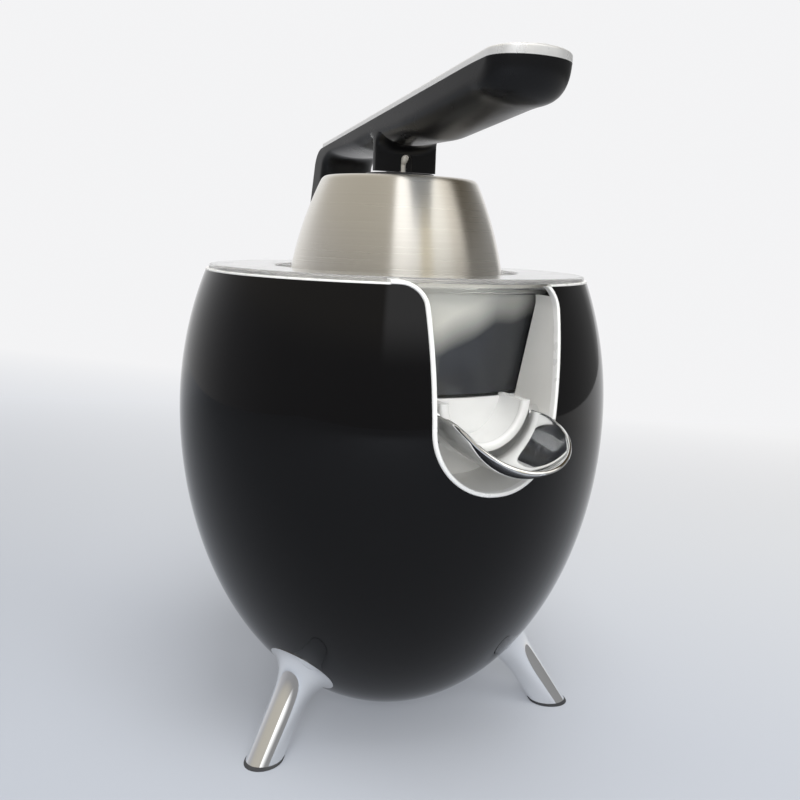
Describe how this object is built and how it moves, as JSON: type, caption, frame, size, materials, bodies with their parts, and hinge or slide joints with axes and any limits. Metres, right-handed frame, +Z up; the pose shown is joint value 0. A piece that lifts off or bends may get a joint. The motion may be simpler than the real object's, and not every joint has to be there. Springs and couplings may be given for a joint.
{
  "type": "electric lever citrus juicer",
  "caption": "Electric citrus juicer: glossy black egg-shaped body on chrome legs, steel press dome on a hinged lever, clear bowl and lid, tilting chrome spout.",
  "frame": {"origin": "on the table, on the axis of the egg-shaped body", "axes": "+Z up, -Y to the front where the spout and the lever's tip point, +X to the right seen from the front"},
  "size_m": [0.2, 0.229, 0.2976],
  "materials": {
    "gloss_black": "gloss",
    "silver_trim": "satin",
    "silver_liner": "satin",
    "chrome": "polished",
    "brushed_steel": "brushed",
    "clear_plastic": "clear",
    "dark_plastic": "matte",
    "rubber": "matte",
    "cone_plastic": "satin",
    "deck_plastic": "matte",
    "gear_plastic": "satin",
    "steel": "satin",
    "bush_bronze": "satin"
  },
  "bodies": {
    "base": {"body_shell": "gloss_black", "rim_trim": "silver_trim", "notch_trim": "silver_trim", "spout_recess": "silver_liner", "leg_left": "chrome", "leg_right": "chrome", "leg_rear": "chrome", "juice_bowl": "clear_plastic", "lid": "clear_plastic", "strainer": "dark_plastic", "base_cover": "dark_plastic", "hinge_post": "dark_plastic", "cord_gland": "dark_plastic", "foot_pad_left": "rubber", "foot_pad_right": "rubber", "foot_pad_rear": "rubber", "shaft_seal": "rubber", "motor_deck": "deck_plastic", "gear_case": "deck_plastic", "switch_body": "deck_plastic", "motor_end_cap": "deck_plastic", "base_cover_screws": "steel", "hinge_pin": "steel", "post_screws": "steel", "deck_screws": "steel", "gear_case_screws": "steel", "idler_pin": "steel", "return_spring": "steel", "motor_can": "steel", "motor_screws": "steel", "motor_stator": "steel", "leg_screws": "steel", "shaft_bush": "bush_bronze", "motor_bushes": "bush_bronze", "motor_windings": "bush_bronze"},
    "lever": {"lever_shell": "gloss_black", "lever_top_plate": "silver_trim", "ball_plug": "steel"},
    "dome": {"press_dome": "brushed_steel", "press_cup": "dark_plastic", "dome_collar": "dark_plastic", "ball_stud": "chrome", "stud_nut": "steel"},
    "spout": {"pour_spout": "chrome"},
    "press_carrier": {"thrust_washer": "steel"},
    "drive": {"drive_shaft": "steel", "output_gear": "gear_plastic", "reamer_cone": "cone_plastic"},
    "idler": {"idler_gear": "gear_plastic"},
    "rotor": {"motor_shaft": "steel", "motor_pinion": "steel", "motor_rotor": "steel", "cooling_fan": "deck_plastic"},
    "plunger": {"switch_plunger": "deck_plastic"}
  },
  "joints": [
    {"name": "lever_hinge", "type": "hinge", "parent": "base", "child": "lever", "pos_m": [0, 0.076, 0.228], "axis": [-1, 0, 0], "range_deg": [0, 78]},
    {"name": "dome_tilt", "type": "hinge", "parent": "lever", "child": "dome", "pos_m": [0, 0, 0.266], "axis": [1, 0, 0], "range_deg": [-3, 3]},
    {"name": "spout_tilt", "type": "hinge", "parent": "base", "child": "spout", "pos_m": [0, -0.084, 0.16], "axis": [-1, 0, 0], "range_deg": [0, 30]},
    {"name": "cone_press", "type": "slide", "parent": "base", "child": "press_carrier", "axis": [0, 0, -1], "range_m": [0, 0.0025], "stiffness_N_per_m": 1500, "springref_m": -0.003, "deforming": ["return_spring"]},
    {"name": "motor_spin", "type": "hinge", "parent": "base", "child": "rotor", "pos_m": [0, 0, 0.06], "axis": [0, 0, 1], "continuous": true},
    {"name": "idler_spin", "type": "hinge", "parent": "base", "child": "idler", "pos_m": [0, 0.0375, 0.096], "axis": [0, 0, 1], "continuous": true},
    {"name": "cone_spin", "type": "hinge", "parent": "press_carrier", "child": "drive", "pos_m": [0, 0, 0.16], "axis": [0, 0, 1], "continuous": true},
    {"name": "switch_press", "type": "slide", "parent": "base", "child": "plunger", "axis": [0, 0, -1], "range_m": [0, 0.0025]}
  ],
  "couplings": [
    {"joint": "idler_spin", "follows": "motor_spin", "ratio": -0.25},
    {"joint": "cone_spin", "follows": "motor_spin", "ratio": 0.0625},
    {"joint": "switch_press", "follows": "cone_press", "ratio": 1}
  ]
}
